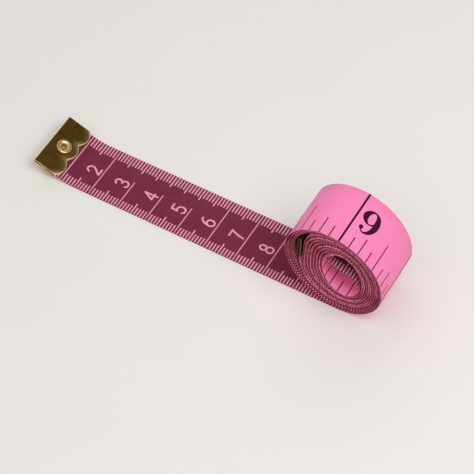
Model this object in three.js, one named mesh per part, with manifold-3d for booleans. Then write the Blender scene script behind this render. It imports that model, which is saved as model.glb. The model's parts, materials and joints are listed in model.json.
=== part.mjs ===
import * as THREE from 'three';
import { mergeVertices } from 'three/addons/utils/BufferGeometryUtils.js';
import Module from 'manifold-3d';

// A cloth tape measure, partly rolled up: millimetres, +X along the laid-out strip, +Z up.
// The tape is one ribbon with a folded brass cap on each end. It is folded in half, rolled up from the
// fold, and its zero end is laid out flat. The ribbon is cut into stretches at the lines where it bends.

// Tape ribbon
const tapeWidth = 19;
const tapeThickness = 0.42;
const bendSlit = 0.3;

// Laid-out strip, measured along the tape from its zero end
const tipReach = 13;
const tailLink = 24;
const freeLength = 103.9;
const tipTilt = THREE.MathUtils.degToRad(22);

// Roll, seen along +Y, with the lean as the shift of its top towards the zero end for each mm of height
const rollWidth = 32.6;
const rollHeight = 32.7;
const rollLean = 0.11;
const holeWidth = 11.6;
const holeHeight = 16.2;
const holeAcross = 3.2;
const holeAbove = -0.4;

// Winding: whole turns, and directions in degrees from the lowest point, towards +X and then up
const singleTurns = 1;
const doubledTurns = 3;
const farEndDirection = 235;
const loopStartDirection = 190;
const loopEndDirection = 68;
const stepsPerTurn = 36;
const arcsPerTurn = 8;

// Room that the far end's stiff cap takes between the turns
const capDent = 0.9;
const capDentSpread = 32;
const capLift = 0.8;

// Brass end caps
const capLength = 9.5;
const capSheet = 0.3;
const capOverhang = 0.3;
const capClearance = 0.1;
const capLobes = 3;
const capLobeDepth = 1.3;
const capToBend = 1.6;
const foldSteps = 8;
const lobeSteps = 8;

// Brass eyelets
const eyeletBore = 2.6;
const eyeletWall = 0.35;
const eyeletFlange = 4.8;
const eyeletFlangeThickness = 0.35;
const eyeletFromEnd = 4.9;
const roundSteps = 24;

const plumCloth = new THREE.MeshStandardMaterial({ color: 0x6e2b42, roughness: 0.55, metalness: 0 });
const brass = new THREE.MeshStandardMaterial({ color: 0xb08d3e, roughness: 0.32, metalness: 1 });

// Working values: cutters reach well through the caps, slopes and searches along the winding are in turns,
// and points nearer along the tape than the layer spacing are neighbours of one layer
const cutterDepth = 4 * (tapeThickness + capClearance + capSheet);
const slopeStep = 1e-4;
const bendSearch = 0.45 / arcsPerTurn;
const farRunSearch = 0.4;
const searchSteps = 60;
const layerSpacing = 8 * tapeThickness;
const fullTurn = 2 * Math.PI;
const fullCircle = 360;

const wasm = await Module();
wasm.setup();

// Booleans

function solidOf(geometry) {
  const bare = geometry.clone();
  bare.deleteAttribute('normal');
  bare.deleteAttribute('uv');
  const merged = mergeVertices(bare);
  const vertProperties = new Float32Array(merged.attributes.position.array);
  const triVerts = new Uint32Array(merged.index.array);
  return new wasm.Manifold(new wasm.Mesh({ numProp: 3, vertProperties, triVerts }));
}

function cut(geometry, ...cutters) {
  let solid = solidOf(geometry);
  for (const cutter of cutters) {
    solid = solid.subtract(solidOf(cutter));
  }
  const mesh = solid.getMesh();
  const result = new THREE.BufferGeometry();
  result.setAttribute('position', new THREE.BufferAttribute(new Float32Array(mesh.vertProperties), 3));
  result.setIndex(new THREE.BufferAttribute(new Uint32Array(mesh.triVerts), 1));
  result.computeVertexNormals();
  return result;
}

// Outlines in the X-Z plane, extruded across the tape

function acrossTape(outline, width) {
  const shape = new THREE.Shape(outline);
  const geometry = new THREE.ExtrudeGeometry(shape, { depth: width, bevelEnabled: false, steps: 1 });
  geometry.rotateX(Math.PI / 2);
  geometry.translate(0, width / 2, 0);
  return geometry;
}

function ribbonOutline(path) {
  const left = [];
  const right = [];
  path.forEach((point, index) => {
    const before = path[Math.max(index - 1, 0)];
    const after = path[Math.min(index + 1, path.length - 1)];
    const along = after.clone().sub(before).normalize();
    const normal = new THREE.Vector2(-along.y, along.x).multiplyScalar(tapeThickness / 2);
    left.push(point.clone().add(normal));
    right.push(point.clone().sub(normal));
  });
  return [...right, ...left.reverse()];
}

function ribbon(path) {
  return acrossTape(ribbonOutline(path), tapeWidth);
}

function eyeletHole() {
  const radius = eyeletBore / 2 + eyeletWall + capClearance;
  const cylinder = new THREE.CylinderGeometry(radius, radius, cutterDepth, roundSteps);
  cylinder.rotateX(Math.PI / 2);
  cylinder.translate(eyeletFromEnd, 0, 0);
  return cylinder;
}

// The roll: a family of leaning ellipses, from the outermost layer of tape in to the hole

const farEndTurn = singleTurns + farEndDirection / fullCircle;
const loopStartTurn = singleTurns + doubledTurns + loopStartDirection / fullCircle;
const loopEndTurn = singleTurns + doubledTurns + loopEndDirection / fullCircle;

function zeroLayer(turn) {
  return turn < farEndTurn ? turn : farEndTurn + 2 * (turn - farEndTurn);
}

function farLayer(turn) {
  return zeroLayer(turn) + 1;
}

const innermostLayer = farLayer(loopEndTurn);
const capLayer = farLayer(farEndTurn);
const rollRest = freeLength - (rollLean * (rollHeight - tapeThickness)) / 2;
const rollCentre = new THREE.Vector2(rollRest, rollHeight / 2);
const holeCentre = rollCentre.clone().add(new THREE.Vector2(holeAcross, holeAbove));

const capDirection = farEndDirection + THREE.MathUtils.radToDeg(capLength / rollWidth);

function dentAt(turn, layer) {
  const halfCircle = fullCircle / 2;
  const ahead = turn * fullCircle - capDirection + halfCircle;
  const offset = THREE.MathUtils.euclideanModulo(ahead, fullCircle) - halfCircle;
  const bump = Math.exp(-((offset / capDentSpread) ** 2));
  const under = THREE.MathUtils.smoothstep(layer, capLayer - 0.5, capLayer + 0.5);
  const fade = THREE.MathUtils.clamp((innermostLayer - layer) / (innermostLayer - capLayer - 1), 0, 1);
  return capDent * bump * under * fade;
}

function layerPoint(turn, layer) {
  const inward = layer / innermostLayer;
  const half = tapeThickness / 2;
  const across = THREE.MathUtils.lerp(rollWidth / 2 - half, holeWidth / 2 + half, inward);
  const upward = THREE.MathUtils.lerp(rollHeight / 2 - half, holeHeight / 2 + half, inward);
  const centre = rollCentre.clone().lerp(holeCentre, inward);
  const angle = turn * fullTurn;
  const spoke = new THREE.Vector2(across * Math.sin(angle), -upward * Math.cos(angle));
  spoke.setLength(spoke.length() - dentAt(turn, layer));
  spoke.x -= rollLean * spoke.y;
  return centre.add(spoke);
}

function zeroStrand(turn) {
  return layerPoint(turn, zeroLayer(turn));
}

function farStrand(turn) {
  return layerPoint(turn, farLayer(turn));
}

function samples(strand, from, to) {
  const count = Math.max(2, Math.ceil(Math.abs(to - from) * stepsPerTurn));
  return Array.from({ length: count + 1 }, (_, step) => strand(from + ((to - from) * step) / count));
}

function solve(from, to, aboveTarget) {
  let low = from;
  let high = to;
  for (let step = 0; step < searchSteps; step += 1) {
    const middle = (low + high) / 2;
    if (aboveTarget(middle)) {
      high = middle;
    } else {
      low = middle;
    }
  }
  return (low + high) / 2;
}

// Bend lines of the outer turn, at equal steps of heading and half a step in from the lowest point

function slopeAt(turn) {
  const step = zeroStrand(turn + slopeStep).sub(zeroStrand(turn - slopeStep));
  return step.divideScalar(2 * slopeStep);
}

function headingAt(turn) {
  const slope = slopeAt(turn);
  return (Math.atan2(slope.y, slope.x) / fullTurn + 1) % 1;
}

const bendTurns = Array.from({ length: arcsPerTurn }, (_, index) => {
  const heading = (index + 0.5) / arcsPerTurn;
  return solve(heading - bendSearch, heading + bendSearch, (turn) => headingAt(turn) > heading);
});

function slitTurns(turn) {
  return bendSlit / 2 / slopeAt(turn).length();
}

function outerSurface(turn) {
  const along = slopeAt(turn).normalize();
  const outward = new THREE.Vector2(along.y, -along.x).multiplyScalar(tapeThickness / 2);
  return zeroStrand(turn).add(outward);
}

// The fold's open loop in the hole, in half-widths and half-heights of the hole from its centre

const foldLoop = [
  [-0.58, 0.98],
  [-0.9, 0.8],
  [-1, 0.57],
  [-0.86, 0.38],
  [-0.48, 0.26],
  [0, 0.2],
  [0.42, 0.14],
  [0.74, 0.02],
  [0.92, -0.16],
];

function loopPath() {
  const guides = [
    zeroStrand(loopStartTurn - 1 / stepsPerTurn),
    zeroStrand(loopStartTurn),
    ...foldLoop.map(([across, up]) => {
      const offset = new THREE.Vector2((across * holeWidth) / 2, (up * holeHeight) / 2);
      return holeCentre.clone().add(offset);
    }),
    farStrand(loopEndTurn),
    farStrand(loopEndTurn - 1 / stepsPerTurn),
  ];
  return new THREE.SplineCurve(guides).getSpacedPoints(2 * stepsPerTurn);
}

// The far end: a straight run that the cap clamps, on the chord between its two ends

const farRun = capLength + capToBend;
const farJoinTurn = solve(farEndTurn, farEndTurn + farRunSearch, (turn) => {
  return farStrand(turn).distanceTo(farStrand(farEndTurn)) > farRun;
});
const farJoin = farStrand(farJoinTurn);
const farAlong = farJoin.clone().sub(farStrand(farEndTurn)).normalize();
const farOutward = new THREE.Vector2(farAlong.y, -farAlong.x);
const farTip = farJoin.clone().addScaledVector(farAlong, -farRun).addScaledVector(farOutward, capLift);

const lastBend = bendTurns[arcsPerTurn - 1];
const windingStart = lastBend + slitTurns(lastBend);
const windingPath = [
  ...samples(zeroStrand, windingStart, loopStartTurn).slice(0, -2),
  ...loopPath().slice(1, -1),
  ...samples(farStrand, loopEndTurn, farJoinTurn).slice(2),
];

// Cap and eyelet, in the frame of a tape end: +X from the fold into the tape, the tape's middle on z = 0

const capInner = tapeThickness / 2 + capClearance;
const capOuter = capInner + capSheet;

function foldArc(radius) {
  return Array.from({ length: foldSteps + 1 }, (_, step) => {
    const angle = Math.PI / 2 + (Math.PI * step) / foldSteps;
    return new THREE.Vector2(capOuter + radius * Math.cos(angle), radius * Math.sin(angle));
  });
}

function lobedEdgeCutter() {
  const capWidth = tapeWidth + 2 * capOverhang;
  const lobe = capWidth / capLobes;
  const edge = [];
  for (let step = 0; step <= capLobes * lobeSteps; step += 1) {
    const wave = Math.abs(Math.sin((Math.PI * step) / lobeSteps));
    const across = -capWidth / 2 + (lobe * step) / lobeSteps;
    edge.push(new THREE.Vector2(capLength - capLobeDepth * (1 - wave), across));
  }
  edge[0].y -= capOverhang;
  edge[edge.length - 1].y += capOverhang;
  const beyond = capLength + capLobeDepth;
  const outline = [...edge, new THREE.Vector2(beyond, edge.at(-1).y), new THREE.Vector2(beyond, edge[0].y)];
  const settings = { depth: cutterDepth, bevelEnabled: false };
  const cutter = new THREE.ExtrudeGeometry(new THREE.Shape(outline), settings);
  cutter.translate(0, 0, -cutterDepth / 2);
  return cutter;
}

function capGeometry() {
  const outline = [
    new THREE.Vector2(capLength, capOuter),
    ...foldArc(capOuter),
    new THREE.Vector2(capLength, -capOuter),
    new THREE.Vector2(capLength, -capInner),
    ...foldArc(capInner).reverse(),
    new THREE.Vector2(capLength, capInner),
  ];
  const folded = acrossTape(outline, tapeWidth + 2 * capOverhang);
  return cut(folded, lobedEdgeCutter(), eyeletHole());
}

function eyeletGeometry() {
  const bore = eyeletBore / 2;
  const barrel = bore + eyeletWall;
  const seat = capOuter + capClearance;
  const top = seat + eyeletFlangeThickness;
  const round = eyeletFlangeThickness / 2;
  const rim = eyeletFlange / 2;
  const profile = [
    [bore, -top + round], [bore + round, -top], [rim - round, -top], [rim, -seat - round],
    [rim - round / 2, -seat], [barrel, -seat], [barrel, seat], [rim - round / 2, seat],
    [rim, seat + round], [rim - round, top], [bore + round, top], [bore, top - round], [bore, -top + round],
  ];
  const points = profile.map(([radius, height]) => new THREE.Vector2(radius, height));
  const ring = new THREE.LatheGeometry(points, roundSteps);
  ring.rotateX(Math.PI / 2);
  ring.translate(eyeletFromEnd, 0, 0);
  return ring;
}

// Assembly

const tapeMeasure = new THREE.Group();

function add(parent, name, geometry, material) {
  const mesh = new THREE.Mesh(geometry, material);
  mesh.name = name;
  parent.add(mesh);
}

function flatStretch(from, to) {
  const middle = tapeThickness / 2;
  return ribbon([new THREE.Vector2(from, middle), new THREE.Vector2(to, middle)]);
}

const tapeEnd = capOuter - capInner + capClearance;
const tipEnd = new THREE.Group();
tipEnd.rotation.y = tipTilt;
const tipDown = new THREE.Vector2(-tipReach, -tapeThickness / 2);
tipDown.rotateAround(new THREE.Vector2(), -tipTilt);
tipEnd.position.set(tipReach + tipDown.x, 0, tapeThickness + tipDown.y);
const tipTape = ribbon([new THREE.Vector2(tapeEnd, 0), new THREE.Vector2(tipReach - bendSlit / 2, 0)]);
add(tipEnd, 'tape_tip', cut(tipTape, eyeletHole()), plumCloth);
add(tipEnd, 'zero_end_cap', capGeometry(), brass);
add(tipEnd, 'zero_end_eyelet', eyeletGeometry(), brass);
tapeMeasure.add(tipEnd);

const tailBends = [tipReach, tipReach + tailLink, tipReach + 2 * tailLink];
const slit = bendSlit / 2;
add(tapeMeasure, 'tape_tail_outer', flatStretch(tailBends[0] + slit, tailBends[1] - slit), plumCloth);
add(tapeMeasure, 'tape_tail_inner', flatStretch(tailBends[1] + slit, tailBends[2] - slit), plumCloth);
add(tapeMeasure, 'tape_strip', flatStretch(tailBends[2] + slit, freeLength - slit), plumCloth);

for (let arc = 0; arc < arcsPerTurn; arc += 1) {
  const startTurn = arc === 0 ? 0 : bendTurns[arc - 1];
  const from = startTurn + slitTurns(startTurn);
  const to = bendTurns[arc] - slitTurns(bendTurns[arc]);
  add(tapeMeasure, `tape_turn_${arc + 1}`, ribbon(samples(zeroStrand, from, to)), plumCloth);
}

const farEnd = new THREE.Group();
farEnd.rotation.y = -Math.atan2(farAlong.y, farAlong.x);
farEnd.position.set(farTip.x, 0, farTip.y);
farEnd.updateMatrix();
const farHole = eyeletHole().applyMatrix4(farEnd.matrix);
const farTapeEnd = farTip.clone().addScaledVector(farAlong, tapeEnd);
const farCapMouth = farTip.clone().addScaledVector(farAlong, capLength);
const wholeWinding = ribbon([...windingPath, farCapMouth, farTapeEnd]);
add(tapeMeasure, 'tape_winding', cut(wholeWinding, farHole), plumCloth);
add(farEnd, 'far_end_cap', capGeometry(), brass);
add(farEnd, 'far_end_eyelet', eyeletGeometry(), brass);
tapeMeasure.add(farEnd);

// Origin under the middle of the whole part

tapeMeasure.updateMatrixWorld(true);
const bounds = new THREE.Box3().setFromObject(tapeMeasure, true);
const middle = bounds.getCenter(new THREE.Vector3());
tapeMeasure.position.set(-middle.x, -middle.y, -bounds.min.z);

// Least gap of the tape to itself, on the points of its path

function leastGap(path) {
  const travelled = [0];
  for (let index = 1; index < path.length; index += 1) {
    travelled.push(travelled[index - 1] + path[index].distanceTo(path[index - 1]));
  }
  let least = Infinity;
  for (let first = 0; first < path.length; first += 1) {
    for (let second = first + 1; second < path.length; second += 1) {
      if (travelled[second] - travelled[first] > layerSpacing) {
        least = Math.min(least, path[first].distanceTo(path[second]) - tapeThickness);
      }
    }
  }
  return { least, length: travelled.at(-1) };
}

const ribbonPath = [
  new THREE.Vector2(tailBends[2], tapeThickness / 2),
  ...samples(zeroStrand, 0, lastBend),
  ...windingPath,
];
const measured = leastGap(ribbonPath);
console.log(`least gap of the tape to itself: ${measured.least.toFixed(3)} mm`);
console.log(`length of the rolled tape: ${measured.length.toFixed(1)} mm`);

const shift = new THREE.Vector2(-middle.x, -bounds.min.z);
tailBends.forEach((bend) => {
  const point = new THREE.Vector2(bend, tapeThickness).add(shift);
  console.log(`tail bend line: x ${point.x.toFixed(4)}, z ${point.y.toFixed(4)}`);
});
bendTurns.forEach((turn) => {
  const point = outerSurface(turn).add(shift);
  console.log(`roll bend line: x ${point.x.toFixed(4)}, z ${point.y.toFixed(4)}`);
});

export default tapeMeasure;
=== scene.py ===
"""A cloth tape measure, partly rolled up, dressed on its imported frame.

Lengths are in millimetres until a mesh is written, which is in metres in the frame's own axes.
Along the tape, s runs from the zero end, and v runs across it from the near edge.
"""

import json
import logging
import math
from dataclasses import dataclass, field
from enum import Enum
from typing import Any, Callable, Sequence

import bpy
import numpy as np
from mathutils import Matrix, Vector

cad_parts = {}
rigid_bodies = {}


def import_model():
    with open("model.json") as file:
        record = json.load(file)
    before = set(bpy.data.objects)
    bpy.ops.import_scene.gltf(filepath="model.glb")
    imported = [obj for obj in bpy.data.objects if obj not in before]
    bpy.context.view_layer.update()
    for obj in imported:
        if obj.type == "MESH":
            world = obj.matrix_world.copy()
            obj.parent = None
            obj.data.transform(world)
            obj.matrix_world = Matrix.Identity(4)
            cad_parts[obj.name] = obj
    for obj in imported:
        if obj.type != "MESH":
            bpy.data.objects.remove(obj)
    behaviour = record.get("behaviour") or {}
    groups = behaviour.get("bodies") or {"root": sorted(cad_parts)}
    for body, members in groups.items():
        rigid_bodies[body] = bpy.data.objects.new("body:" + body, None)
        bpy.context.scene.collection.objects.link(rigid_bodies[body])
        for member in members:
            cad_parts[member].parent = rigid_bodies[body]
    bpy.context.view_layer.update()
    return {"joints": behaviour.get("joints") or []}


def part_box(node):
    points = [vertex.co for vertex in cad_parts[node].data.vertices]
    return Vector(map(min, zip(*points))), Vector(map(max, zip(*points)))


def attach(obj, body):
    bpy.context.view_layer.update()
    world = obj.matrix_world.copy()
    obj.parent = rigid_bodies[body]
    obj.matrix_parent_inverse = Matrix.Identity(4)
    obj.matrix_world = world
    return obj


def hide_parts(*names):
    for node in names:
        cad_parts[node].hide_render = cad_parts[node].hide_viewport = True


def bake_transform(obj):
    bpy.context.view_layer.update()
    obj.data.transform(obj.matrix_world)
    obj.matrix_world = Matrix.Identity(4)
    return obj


LOG = logging.getLogger("tape_measure")
MM = 0.001
INCH = 25.4
FULL_CIRCLE = 360.0
EYELET_FROM_FOLD = 4.9
TOUCH = 1e-3
WELD = 0.002

Colour = tuple[float, float, float]


# Shader maths

class Shade:
    """A shader socket that takes part in Python expressions."""

    def __init__(self, kit: "NodeKit", socket: bpy.types.NodeSocket) -> None:
        """Wraps one output socket of a material's nodes."""
        self.kit = kit
        self.socket = socket

    def maths(self, operation: str, *values: Any) -> "Shade":
        """Adds a Math node.

        Args:
            operation: The Math node's operation.
            values: Its inputs in order, as shades or numbers.

        Returns:
            The node's result.
        """
        inputs = dict(enumerate(values))
        return self.kit.node("ShaderNodeMath", {"operation": operation}, inputs)

    def __add__(self, other: Any) -> "Shade":
        """This plus other."""
        return self.maths("ADD", self, other)

    def __radd__(self, other: Any) -> "Shade":
        """Other plus this."""
        return self.maths("ADD", other, self)

    def __sub__(self, other: Any) -> "Shade":
        """This less other."""
        return self.maths("SUBTRACT", self, other)

    def __rsub__(self, other: Any) -> "Shade":
        """Other less this."""
        return self.maths("SUBTRACT", other, self)

    def __mul__(self, other: Any) -> "Shade":
        """This times other."""
        return self.maths("MULTIPLY", self, other)

    def __rmul__(self, other: Any) -> "Shade":
        """Other times this."""
        return self.maths("MULTIPLY", other, self)

    def sine(self) -> "Shade":
        """Its sine."""
        return self.maths("SINE", self)

    def between(self, low: float, high: float) -> "Shade":
        """A smooth step from 0 at low to 1 at high."""
        settings = {"interpolation_type": "SMOOTHSTEP"}
        inputs = {"Value": self, "From Min": low, "From Max": high}
        return self.kit.node("ShaderNodeMapRange", settings, inputs)


class NodeKit:
    """The nodes of one material or world."""

    def __init__(self, owner: Any) -> None:
        """Starts an empty node tree on a material or a world."""
        owner.use_nodes = True
        self.tree = owner.node_tree
        self.tree.nodes.clear()

    def node(self, kind: str, settings: dict, inputs: dict, output: Any = 0) -> Shade:
        """Adds a node.

        Args:
            kind: The node's type.
            settings: Its own settings, which are set first.
            inputs: Values or shades, by the name or the number of the socket.
            output: The name or the number of the socket to return.

        Returns:
            That output of the node.
        """
        made = self.tree.nodes.new(kind)
        for name, value in settings.items():
            setattr(made, name, value)
        for key, value in inputs.items():
            if isinstance(value, Shade):
                self.tree.links.new(value.socket, made.inputs[key])
            else:
                made.inputs[key].default_value = value
        return Shade(self, made.outputs[output])

    def place(self, scale: Sequence[float]) -> Shade:
        """The object's own coordinates, scaled on each axis."""
        found = self.node("ShaderNodeTexCoord", {}, {}, "Object")
        return self.node("ShaderNodeMapping", {}, {"Vector": found, "Scale": tuple(scale)})

    def noise(self, where: Shade, scale: float, detail: float, rough: float) -> Shade:
        """Cloudy noise from 0 to 1."""
        inputs = {"Vector": where, "Scale": scale, "Detail": detail, "Roughness": rough}
        return self.node("ShaderNodeTexNoise", {}, inputs)

    def mix(self, share: Shade, first: Any, second: Any) -> Shade:
        """Two colours mixed by a share.

        Args:
            share: How much of the second colour there is.
            first: A colour, or a shade with one.
            second: A colour, or a shade with one.

        Returns:
            The mixed colour.
        """
        full = [c if isinstance(c, Shade) else (*c, 1.0) for c in (first, second)]
        inputs = {0: share, 6: full[0], 7: full[1]}
        return self.node("ShaderNodeMix", {"data_type": "RGBA"}, inputs, 2)

    def bump(self, height: Shade, strength: float, distance: float) -> Shade:
        """A normal from a height, with its distance in millimetres."""
        inputs = {"Height": height, "Strength": strength, "Distance": distance * MM}
        return self.node("ShaderNodeBump", {}, inputs)

    def surface(self, inputs: dict) -> None:
        """Ends the tree in a Principled shader with these inputs."""
        shader = self.node("ShaderNodeBsdfPrincipled", {}, inputs)
        self.node_output("ShaderNodeOutputMaterial", shader)

    def node_output(self, kind: str, shader: Shade) -> None:
        """Links a shader to the tree's output node."""
        made = self.tree.nodes.new(kind)
        self.tree.links.new(shader.socket, made.inputs["Surface"])


# Finishes

@dataclass(frozen=True)
class ClothFinish:
    """A coated face of the woven ribbon, with its threads along and across the tape."""

    name: str
    ground: Colour
    worn: Colour
    thread: float = 0.5
    mottle: float = 0.35
    roughness: float = 0.46
    gloss: float = 0.08
    weave_height: float = 0.03
    cloud_scale: float = 160.0
    fleck_scale: float = 1400.0

    def build(self) -> bpy.types.Material:
        """Makes the material.

        Returns:
            A cloth that reads the ribbon's own UV map, in millimetres.
        """
        material = bpy.data.materials.new(self.name)
        kit = NodeKit(material)
        flat = kit.node("ShaderNodeUVMap", {"uv_map": "tape"}, {})
        along = kit.node("ShaderNodeSeparateXYZ", {}, {0: flat}, "X")
        across = kit.node("ShaderNodeSeparateXYZ", {}, {0: flat}, "Y")
        turn = math.pi / self.thread
        weave = (along * turn).sine() * (across * turn).sine()
        cloud = kit.noise(kit.place((1, 1, 1)), self.cloud_scale, 4.0, 0.6)
        fleck = kit.noise(kit.place((1, 1, 1)), self.fleck_scale, 2.0, 0.5)
        share = self.mottle * (cloud.between(0.3, 0.75) + 0.5 * fleck + 0.12 * weave - 0.25)
        kit.surface({
            "Base Color": kit.mix(share, self.ground, self.worn),
            "Roughness": self.roughness + 0.14 * (cloud - 0.5) + 0.05 * weave,
            "Specular IOR Level": self.gloss,
            "Normal": kit.bump(0.5 * weave + 0.35 * fleck, 0.35, self.weave_height),
        })
        return material


@dataclass(frozen=True)
class EdgeFinish:
    """The cut edge of the ribbon: its two coats show as two bands."""

    name: str
    dark: Colour
    pale: Colour
    change: float = -0.45
    change_reach: float = 0.12
    shaded: float = 0.6
    roughness: float = 0.62
    gloss: float = 0.08
    fray_scale: float = 900.0
    cloud_scale: float = 220.0

    def build(self) -> bpy.types.Material:
        """Makes the material.

        Returns:
            A two-toned edge that reads the height in the edge from the UV map.
        """
        material = bpy.data.materials.new(self.name)
        kit = NodeKit(material)
        flat = kit.node("ShaderNodeUVMap", {"uv_map": "tape"}, {})
        height = kit.node("ShaderNodeSeparateXYZ", {}, {0: flat}, "Y")
        fray = kit.noise(kit.place((1, 1, 1)), self.fray_scale, 3.0, 0.6)
        cloud = kit.noise(kit.place((1, 1, 1)), self.cloud_scale, 3.0, 0.6)
        low, high = self.change - self.change_reach, self.change + self.change_reach
        upper = (height + 0.2 * (fray - 0.5)).between(low, high)
        tone = kit.mix(cloud.between(0.35, 0.7), self.pale, [self.shaded * c for c in self.pale])
        kit.surface({
            "Base Color": kit.mix(upper, tone, self.dark),
            "Roughness": self.roughness + 0.1 * (fray - 0.5),
            "Specular IOR Level": self.gloss,
            "Normal": kit.bump(fray, 0.3, 0.04),
        })
        return material


@dataclass(frozen=True)
class InkFinish:
    """Printed marks, a little uneven where the ink sank between the threads."""

    name: str
    ink: Colour
    thin: Colour
    roughness: float = 0.5
    gloss: float = 0.1
    speck_scale: float = 2600.0
    cloud_scale: float = 300.0

    def build(self) -> bpy.types.Material:
        """Makes the material.

        Returns:
            An ink with fine gaps and light wear.
        """
        material = bpy.data.materials.new(self.name)
        kit = NodeKit(material)
        speck = kit.noise(kit.place((1, 1, 1)), self.speck_scale, 2.0, 0.5)
        cloud = kit.noise(kit.place((1, 1, 1)), self.cloud_scale, 3.0, 0.5)
        share = speck.between(0.5, 0.75) * 0.5 + 0.3 * cloud.between(0.4, 0.8)
        kit.surface({
            "Base Color": kit.mix(share, self.ink, self.thin),
            "Roughness": self.roughness + 0.12 * (speck - 0.5),
            "Specular IOR Level": self.gloss,
        })
        return material


@dataclass(frozen=True)
class BrassFinish:
    """Stamped brass sheet with rubbing streaks, darker tarnish, and bright edges whose pale colour is
    partly wear and partly a painted highlight.
    """

    name: str
    bright: Colour
    tarnish: Colour
    # The pale colour of the bright edges: partly wear, partly a painted highlight.
    rubbed: Colour
    roughness: float = 0.18
    streak_scale: tuple = (900, 60, 900)
    cloud_scale: float = 260.0
    dent_scale: float = 140.0
    dent_depth: float = 0.45

    def build(self) -> bpy.types.Material:
        """Makes the material.

        Returns:
            A metal that reads its bright edges, worn and with a painted highlight, from the pieces' own
            attribute.
        """
        material = bpy.data.materials.new(self.name)
        kit = NodeKit(material)
        rub = kit.node("ShaderNodeAttribute", {"attribute_name": "rub"}, {}, "Fac")
        streak = kit.noise(kit.place(self.streak_scale), 1.0, 3.0, 0.6)
        cloud = kit.noise(kit.place((1, 1, 1)), self.cloud_scale, 4.0, 0.6)
        dent = kit.noise(kit.place((1, 1, 1)), self.dent_scale, 2.0, 0.5)
        share = 0.7 * cloud.between(0.43, 0.6) + 0.4 * streak.between(0.42, 0.62)
        # Painted highlight: where the attribute is high, the pale edge colour goes in, partly as wear and
        # partly as light caught on the edge.
        worn = rub * (0.65 + 0.5 * cloud)
        plain = kit.mix(share, self.bright, self.tarnish)
        kit.surface({
            "Base Color": kit.mix(worn, plain, self.rubbed),
            "Metallic": 1.0,
            "Roughness": self.roughness + 0.16 * cloud + 0.12 * (streak - 0.5) + 0.2 * worn,
            "Normal": kit.bump(dent + 0.12 * streak, 0.6, self.dent_depth),
        })
        return material


@dataclass(frozen=True)
class FloorFinish:
    """A plain pale floor."""

    name: str
    pale: Colour

    def build(self) -> bpy.types.Material:
        """Makes the material.

        Returns:
            A matt pale surface with a faint cloudiness.
        """
        material = bpy.data.materials.new(self.name)
        kit = NodeKit(material)
        cloud = kit.noise(kit.place((1, 1, 1)), 25.0, 3.0, 0.5)
        shade = [0.97 * c for c in self.pale]
        kit.surface({
            "Base Color": kit.mix(cloud, self.pale, shade),
            "Roughness": 0.7,
            "Specular IOR Level": 0.2,
        })
        return material


class Face(Enum):
    """The two printed faces, with the side of the path that each one lies on."""

    CENTIMETRE = 1
    INCH = -1


# The tape's path

@dataclass(frozen=True)
class EndFrame:
    """Where one end of the tape lies: its fold, and the way into the tape, seen along +Y."""

    fold: np.ndarray
    into: np.ndarray
    across: float

    @classmethod
    def of_cap(cls, cap: str, eyelet: str, across: float) -> "EndFrame":
        """Reads an end from the frame's cap and eyelet.

        Args:
            cap: The cap's node.
            eyelet: The eyelet's node.
            across: How far the end has slipped across the tape.

        Returns:
            The end's place.
        """
        ring = side_points(eyelet)
        middle = (ring.min(axis=0) + ring.max(axis=0)) / 2
        spread = np.linalg.svd(ring - ring.mean(axis=0), full_matrices=False)[2]
        into = spread[0]
        along = (side_points(cap) - middle) @ into
        if along.max() > -along.min():
            into = -into
        return cls(middle - EYELET_FROM_FOLD * into, into, across)

    def at(self, along: np.ndarray) -> np.ndarray:
        """Points on the tape's middle, at these distances from the fold."""
        return self.fold + np.outer(along, self.into)

    def matrix(self) -> Matrix:
        """The place of a piece that is modelled in millimetres on this end."""
        out = Vector((-self.into[1], 0.0, self.into[0]))
        place = Matrix((
            (self.into[0], 0.0, out.x, self.fold[0]),
            (0.0, 1.0, 0.0, self.across),
            (self.into[1], 0.0, out.z, self.fold[1]),
            (0.0, 0.0, 0.0, 1.0),
        ))
        return Matrix.Scale(MM, 4) @ place


def side_points(node: str) -> np.ndarray:
    """A node's corners seen along +Y, in millimetres."""
    corners = bpy.data.objects[node].data.vertices
    return np.array([(c.co.x, c.co.z) for c in corners]) / MM


def smoothstep(value: Any, low: float, high: float) -> Any:
    """A smooth step from 0 at low to 1 at high."""
    share = np.clip((value - low) / (high - low), 0.0, 1.0)
    return share * share * (3.0 - 2.0 * share)


def through(guides: np.ndarray, per_span: int) -> np.ndarray:
    """A smooth curve through points.

    Args:
        guides: The points, one per row. Columns past the second are carried along.
        per_span: How many steps there are between two points.

    Returns:
        The curve's points, with the first and last guide on it.
    """
    before = np.vstack([2 * guides[0] - guides[1], guides, 2 * guides[-1] - guides[-2]])
    spans = []
    share = np.linspace(0.0, 1.0, per_span, endpoint=False)[:, None]
    for a, b, c, d in zip(before, before[1:], before[2:], before[3:]):
        curve = 2 * b + (c - a) * share + (2 * a - 5 * b + 4 * c - d) * share ** 2
        spans.append((curve + (3 * b - a - 3 * c + d) * share ** 3) / 2)
    return np.vstack([*spans, guides[-1:]])


def spaced(points: np.ndarray, step: float) -> np.ndarray:
    """Points at an even spacing along a polyline."""
    gaps = np.linalg.norm(np.diff(points, axis=0), axis=1)
    run = np.concatenate([[0.0], np.cumsum(gaps)])
    where = np.linspace(0.0, run[-1], max(2, round(run[-1] / step)))
    return np.stack([np.interp(where, run, column) for column in points.T], axis=1)


def softened(points: np.ndarray, reach: int) -> np.ndarray:
    """A polyline with its corners eased over a number of points, and its ends kept."""
    weights = np.exp(-np.linspace(-2.0, 2.0, 2 * reach + 1) ** 2)
    weights /= weights.sum()
    head = 2 * points[0] - points[1:reach + 1][::-1]
    tail = 2 * points[-1] - points[-reach - 1:-1][::-1]
    padded = np.vstack([head, points, tail])
    return np.stack([np.convolve(c, weights, mode="valid") for c in padded.T], axis=1)


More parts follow.
